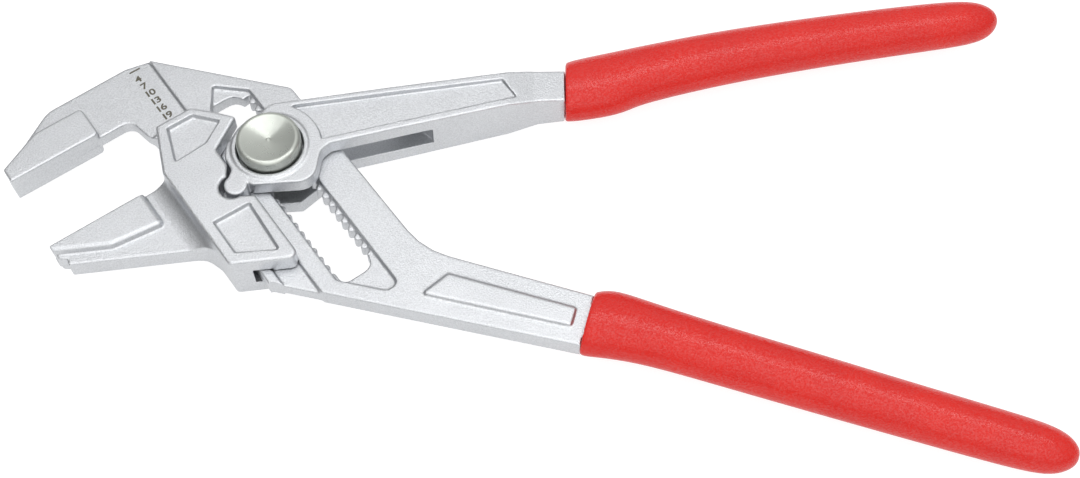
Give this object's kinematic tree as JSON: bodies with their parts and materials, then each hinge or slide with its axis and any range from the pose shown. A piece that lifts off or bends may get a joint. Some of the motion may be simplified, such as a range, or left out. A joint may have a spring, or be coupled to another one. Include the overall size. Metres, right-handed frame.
{
  "type": "water pump pliers",
  "caption": "Parallel-jaw water pump pliers of satin plated steel with a push button on the joint, a toothed slot and red dipped grips.",
  "frame": {"origin": "under the middle of the tool's box, on the surface it lies on", "axes": "+X along the tool towards the grips, +Z square to the tool's flat, on the side of the push button"},
  "size_m": [0.2616, 0.1356, 0.0187],
  "materials": {
    "plated_steel": "satin",
    "turned_steel": "gloss",
    "red_grip": "satin"
  },
  "bodies": {
    "leg": {"fixed_jaw_leg": "plated_steel", "lower_grip": "red_grip"},
    "pivot": {"rear_washer": "turned_steel", "button_spring": "turned_steel"},
    "bolt": {"joint_bolt": "turned_steel", "push_button": "turned_steel", "retaining_ring": "turned_steel"},
    "lever": {"lever_handle": "plated_steel", "upper_grip": "red_grip"},
    "jaw": {"sliding_jaw": "plated_steel"}
  },
  "joints": [
    {"name": "size_adjust", "type": "slide", "parent": "leg", "child": "pivot", "axis": [0.5878, -0.809, 0], "range_m": [-0.018, 0.036]},
    {"name": "button_press", "type": "slide", "parent": "pivot", "child": "bolt", "axis": [0, 0, -1], "range_m": [0, 0.0026], "stiffness_N_per_m": 1500, "springref_m": -0.001, "deforming": ["button_spring"]},
    {"name": "handle_swing", "type": "hinge", "parent": "pivot", "child": "lever", "pos_m": [-0.06304, 0.01721, 0.0074], "axis": [0, 0, 1], "range_deg": [-16, 3]},
    {"name": "jaw_slide", "type": "slide", "parent": "pivot", "child": "jaw", "axis": [0.5878, -0.809, 0], "range_m": [-0.0038, 0.0008]}
  ],
  "couplings": [
    {"joint": "jaw_slide", "follows": "handle_swing", "m_per_rad": 0.0134}
  ]
}
